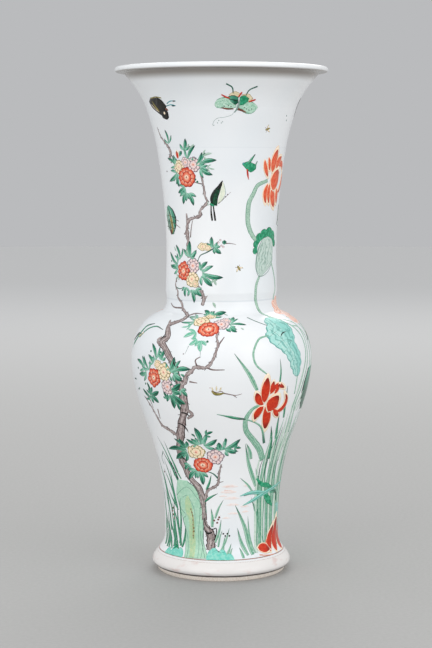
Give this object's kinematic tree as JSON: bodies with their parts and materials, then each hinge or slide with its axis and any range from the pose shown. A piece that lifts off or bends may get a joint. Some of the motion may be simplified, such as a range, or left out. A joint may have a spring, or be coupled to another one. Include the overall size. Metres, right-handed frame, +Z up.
{
  "type": "yen yen vase",
  "caption": "Tall porcelain baluster vase with a waisted body, a straight neck, a wide trumpet mouth with a rolled lip and a spreading recessed foot.",
  "frame": {"origin": "on the vase's axis at the underside of the foot ring, where it stands", "axes": "+Z up along the axis to the mouth; the painted front faces -Y, with +X to its right"},
  "size_m": [0.1918, 0.1918, 0.457],
  "materials": {
    "glazed_porcelain": "clear glossy glaze with painted enamels",
    "porcelain_slip": "fired porcelain slip"
  },
  "bodies": {
    "root": {"foot": "glazed_porcelain", "lower_body": "glazed_porcelain", "belly_and_shoulder": "glazed_porcelain", "neck": "glazed_porcelain", "trumpet_mouth": "glazed_porcelain", "foot_luting": "porcelain_slip", "body_luting": "porcelain_slip", "neck_luting": "porcelain_slip", "mouth_luting": "porcelain_slip"}
  },
  "joints": []
}
